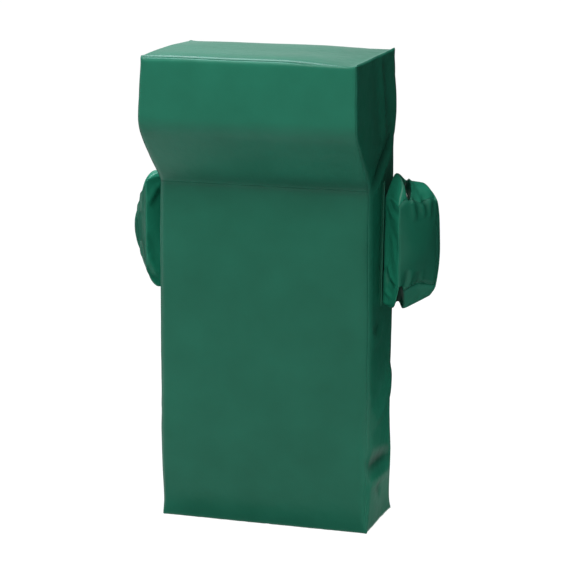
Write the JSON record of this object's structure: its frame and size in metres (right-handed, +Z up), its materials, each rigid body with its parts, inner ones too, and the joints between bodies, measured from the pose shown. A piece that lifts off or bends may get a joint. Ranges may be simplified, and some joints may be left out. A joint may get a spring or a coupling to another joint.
{
  "type": "tackle dummy",
  "caption": "Hand-held tackle dummy: a foam-filled green vinyl shield with a wedge head that stands forward, padded side wings, and hand holds and a zip at the back.",
  "frame": {"origin": "on the floor, under the middle of the body (the head and the wings left out)", "axes": "+Z up, -Y towards the front that is hit, +X towards the object's right side as the picture shows it"},
  "size_m": [0.5646, 0.3303, 0.8458],
  "materials": {
    "green_vinyl": "semi-gloss PVC-coated fabric, sewn",
    "impact_foam": "open-cell polyurethane foam",
    "firm_foam": "closed-cell polyethylene foam",
    "black_webbing": "woven polypropylene",
    "grip_rubber": "matte foam-rubber sleeve",
    "zip_plastic": "moulded teeth",
    "zip_metal": "die-cast, satin",
    "brass": "pressed brass"
  },
  "bodies": {
    "bag": {"body_front_panel": "green_vinyl", "head_front_panel": "green_vinyl", "top_panel": "green_vinyl", "bottom_panel": "green_vinyl", "side_panel_left": "green_vinyl", "side_panel_right": "green_vinyl", "back_panel_left": "green_vinyl", "back_panel_right": "green_vinyl", "body_foam": "impact_foam", "head_foam": "impact_foam", "backing_foam": "firm_foam", "wing_welt_left": "green_vinyl", "wing_welt_right": "green_vinyl", "zip_tape_left": "black_webbing", "zip_tape_right": "black_webbing", "zip_teeth_left": "zip_plastic", "zip_teeth_right": "zip_plastic", "zip_bottom_stop": "zip_metal", "zip_top_stop": "zip_metal", "hold_patch_left": "green_vinyl", "hold_patch_right": "green_vinyl", "hold_anchor_upper_left": "black_webbing", "hold_anchor_lower_left": "black_webbing", "hold_anchor_upper_right": "black_webbing", "hold_anchor_lower_right": "black_webbing", "eyelet_lower_left": "brass", "eyelet_lower_right": "brass", "eyelet_upper_left": "brass", "eyelet_upper_right": "brass"},
    "wing_left": {"wing_outer_face_left": "green_vinyl", "wing_inner_face_left": "green_vinyl", "wing_gusset_left": "green_vinyl", "wing_foam_left": "impact_foam"},
    "hold_left": {"hold_loop_left": "black_webbing", "hold_grip_left": "grip_rubber"},
    "wing_right": {"wing_outer_face_right": "green_vinyl", "wing_inner_face_right": "green_vinyl", "wing_gusset_right": "green_vinyl", "wing_foam_right": "impact_foam"},
    "hold_right": {"hold_loop_right": "black_webbing", "hold_grip_right": "grip_rubber"},
    "zip_slider": {"zip_slider": "zip_metal"},
    "zip_pull": {"zip_pull": "zip_metal"}
  },
  "joints": [
    {"name": "wing_left_flex", "type": "hinge", "parent": "bag", "child": "wing_left", "pos_m": [-0.19773, -0.004, 0.5], "axis": [0, 0, 1], "range_deg": [-20, 20], "stiffness_Nm_per_rad": 1.2},
    {"name": "wing_right_flex", "type": "hinge", "parent": "bag", "child": "wing_right", "pos_m": [0.19773, -0.004, 0.5], "axis": [0, 0, 1], "range_deg": [-20, 20], "stiffness_Nm_per_rad": 1.2},
    {"name": "hold_left_swing", "type": "hinge", "parent": "bag", "child": "hold_left", "pos_m": [-0.09, 0.09156, 0.5], "axis": [0, 0, 1], "range_deg": [-65, 65]},
    {"name": "hold_right_swing", "type": "hinge", "parent": "bag", "child": "hold_right", "pos_m": [0.09, 0.09156, 0.5], "axis": [0, 0, 1], "range_deg": [-65, 65]},
    {"name": "zip_slide", "type": "slide", "parent": "bag", "child": "zip_slider", "axis": [0, 0, 1], "range_m": [0, 0.5394]},
    {"name": "zip_pull_swing", "type": "hinge", "parent": "zip_slider", "child": "zip_pull", "pos_m": [0, 0.08619, 0.1228], "axis": [1, 0, 0], "range_deg": [0, 170]}
  ]
}
